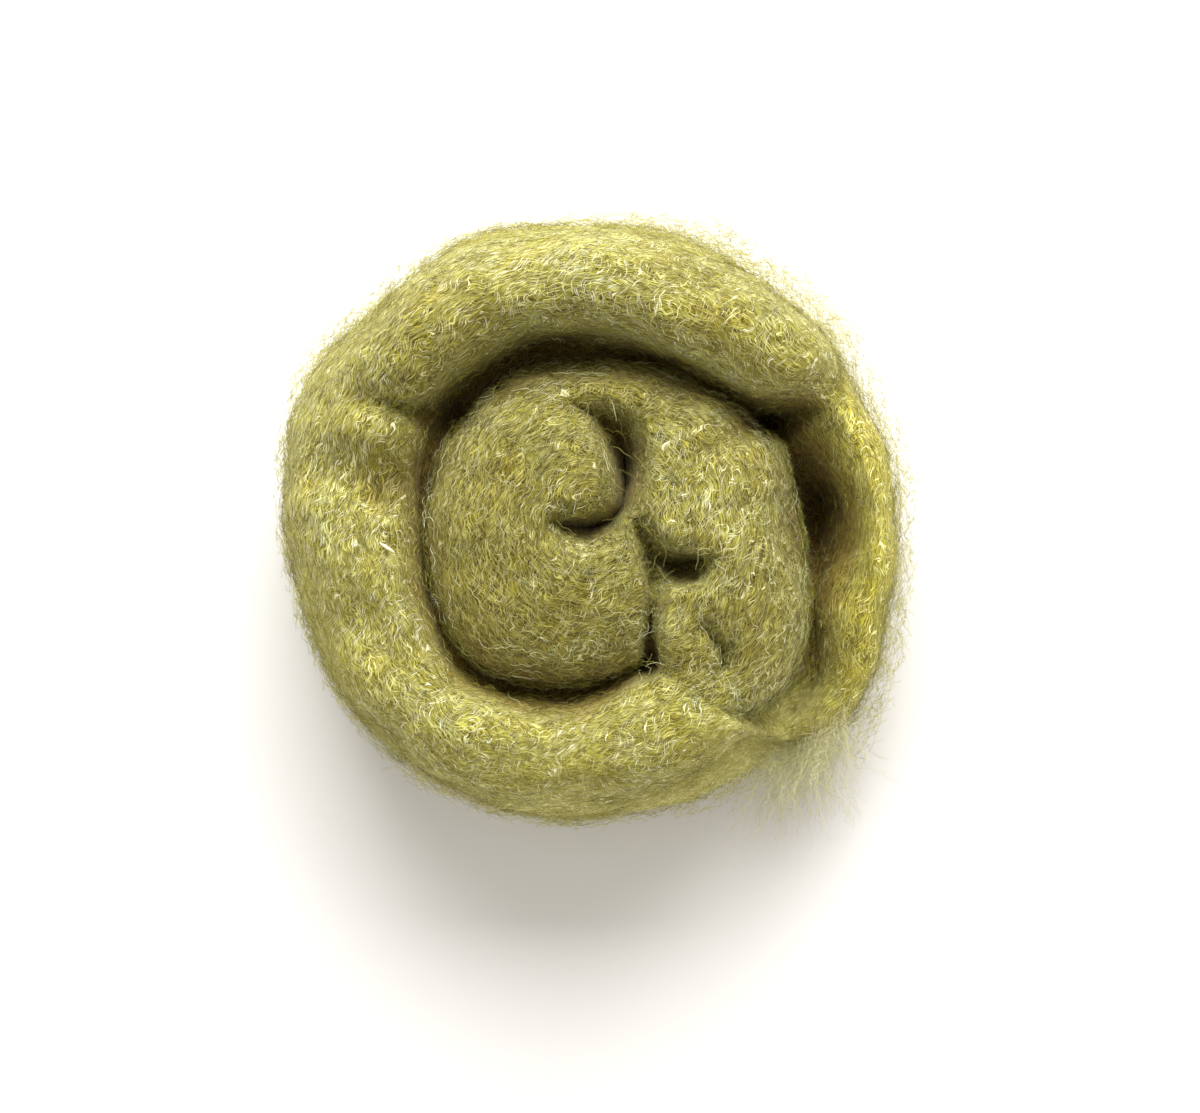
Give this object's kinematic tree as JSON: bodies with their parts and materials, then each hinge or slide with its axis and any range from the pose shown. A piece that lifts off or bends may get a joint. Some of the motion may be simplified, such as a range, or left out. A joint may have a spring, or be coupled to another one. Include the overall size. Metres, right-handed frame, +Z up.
{
  "type": "carded wool batt",
  "caption": "Rolled batt of carded wool standing on its end, with a puffy wound middle, a fat outer turn and a thin loose end, for spinning, felting or stuffing.",
  "frame": {"origin": "on the surface that the roll stands on, under the middle of its box in plan", "axes": "+Z up along the winding's axis, +X towards the side where the loose end of the sheet hangs, +Y towards the far side, where the outer turn is highest"},
  "size_m": [0.1168, 0.115, 0.0614],
  "materials": {
    "wool": "dyed carded wool, matt, loose crimped fibres, olive yellow"
  },
  "bodies": {
    "root": {"batt_roll": "wool"}
  },
  "joints": []
}
